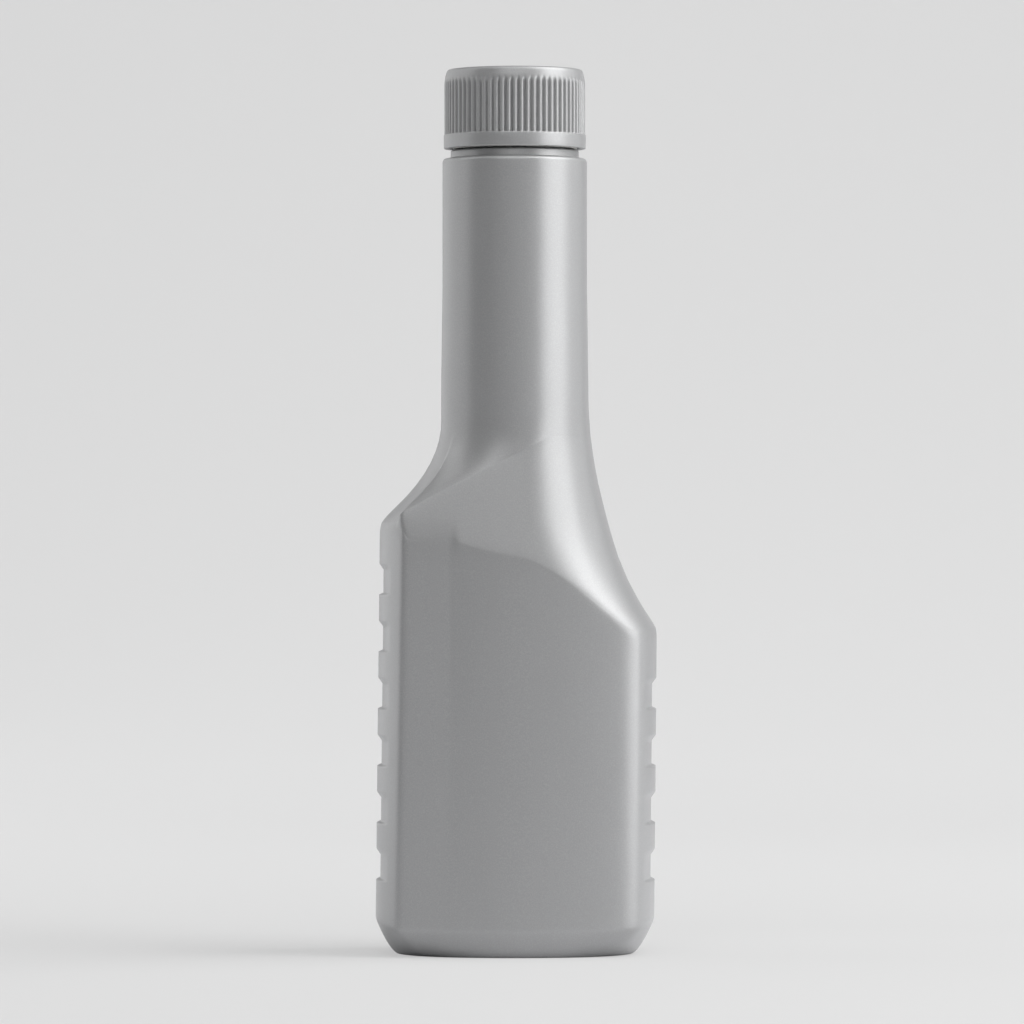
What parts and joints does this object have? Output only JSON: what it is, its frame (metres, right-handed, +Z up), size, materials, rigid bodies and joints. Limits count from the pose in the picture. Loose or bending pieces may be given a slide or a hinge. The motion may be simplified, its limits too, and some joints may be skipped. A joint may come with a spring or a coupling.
{
  "type": "fuel injector cleaner bottle",
  "caption": "Silver-grey blow-moulded additive bottle with a long round neck, lopsided shoulders, side grip grooves and a ribbed push-and-turn screw cap.",
  "frame": {"origin": "on the ground under the neck's axis, within 1 mm of the middle of the box", "axes": "+Z up along the neck, +X to the right as seen from the front, +Y from the front to the back"},
  "size_m": [0.0667, 0.046, 0.2094],
  "materials": {
    "silver_plastic": "satin moulded plastic with a faint silver pearl pigment",
    "cap_plastic": "satin moulded plastic in the bottle's silver grey",
    "inner_plastic": "uncoloured moulded plastic",
    "foam_liner": "fine-celled white foam"
  },
  "bodies": {
    "bottle": {"bottle": "silver_plastic"},
    "liner": {"cap_liner": "foam_liner"},
    "inner_cap": {"inner_cap": "inner_plastic"},
    "outer_cap": {"outer_cap": "cap_plastic"}
  },
  "joints": [
    {"name": "cap_lift", "type": "slide", "parent": "bottle", "child": "liner", "axis": [0, 0, 1], "range_m": [0, 0.01375]},
    {"name": "cap_turn", "type": "hinge", "parent": "liner", "child": "inner_cap", "pos_m": [0, 0, 0.2039], "axis": [0, 0, 1], "range_deg": [0, 1170]},
    {"name": "cap_push", "type": "slide", "parent": "inner_cap", "child": "outer_cap", "axis": [0, 0, -1], "range_m": [0, 0.0016], "stiffness_N_per_m": 300}
  ],
  "couplings": [
    {"joint": "cap_turn", "follows": "cap_lift", "rad_per_m": 1484.3}
  ]
}
